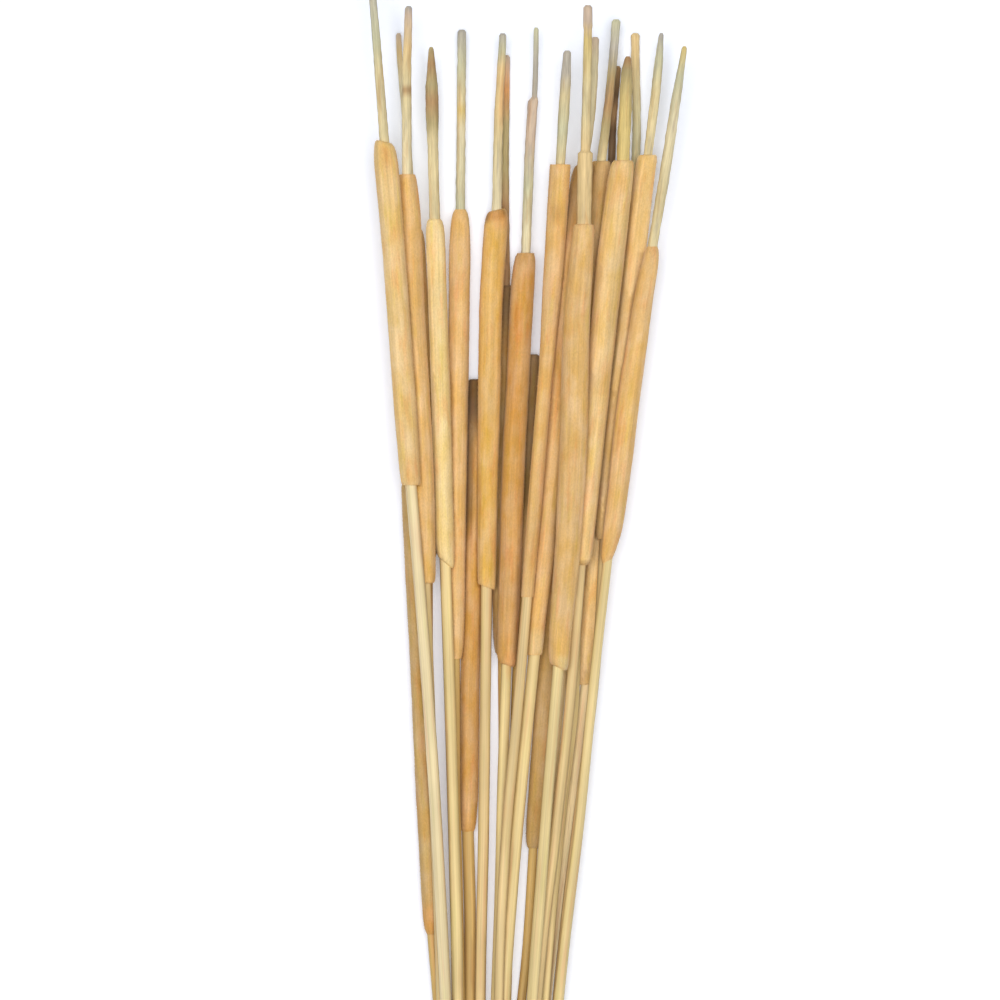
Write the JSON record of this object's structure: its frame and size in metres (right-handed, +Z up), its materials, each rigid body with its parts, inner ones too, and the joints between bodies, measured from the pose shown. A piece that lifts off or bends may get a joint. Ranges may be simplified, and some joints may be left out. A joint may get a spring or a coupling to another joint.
{
  "type": "bunch of dried cattail stems",
  "caption": "Loose bunch of dried cattails lying in a fan: straight bare stems, long velvety seed heads and a thin dry spike above each head.",
  "frame": {"origin": "middle of the underside of the bunch's box, on the surface that it lies on", "axes": "+Y from the cut ends to the tips, +X to the right seen from above with the tips up, +Z up from the surface"},
  "size_m": [0.1594, 0.812, 0.0447],
  "materials": {
    "stem": "dry straw-coloured stem, smooth with fine lengthwise lines and a faint gloss",
    "head": "velvety tan seed head of packed down, matt, mottled and faintly streaked",
    "pale_head": "velvety pale yellowish seed head of packed down, matt",
    "tip": "dry greyish straw spike with a rough surface and brown lengths"
  },
  "bodies": {
    "root": {"stem_01": "stem", "head_01": "head", "tip_01": "tip", "stem_02": "stem", "head_02": "head", "tip_02": "tip", "stem_03": "stem", "head_03": "head", "tip_03": "tip", "stem_04": "stem", "head_04": "head", "stem_05": "stem", "head_05": "pale_head", "tip_05": "tip", "stem_06": "stem", "head_06": "pale_head", "tip_06": "tip", "stem_07": "stem", "head_07": "head", "stem_08": "stem", "head_08": "head", "tip_08": "tip", "stem_09": "stem", "head_09": "head", "tip_09": "tip", "stem_10": "stem", "head_10": "head", "tip_10": "tip", "stem_11": "stem", "head_11": "head", "stem_12": "stem", "head_12": "head", "tip_12": "tip", "stem_13": "stem", "head_13": "head", "tip_13": "tip", "stem_14": "stem", "head_14": "head", "stem_15": "stem", "head_15": "head", "tip_15": "tip", "stem_16": "stem", "head_16": "head", "tip_16": "tip", "stem_17": "stem", "head_17": "head", "tip_17": "tip", "stem_18": "stem", "head_18": "head", "tip_18": "tip", "stem_19": "stem", "head_19": "head", "tip_19": "tip", "stem_20": "stem", "head_20": "pale_head", "tip_20": "tip", "stem_21": "stem", "head_21": "pale_head", "tip_21": "tip"}
  },
  "joints": []
}
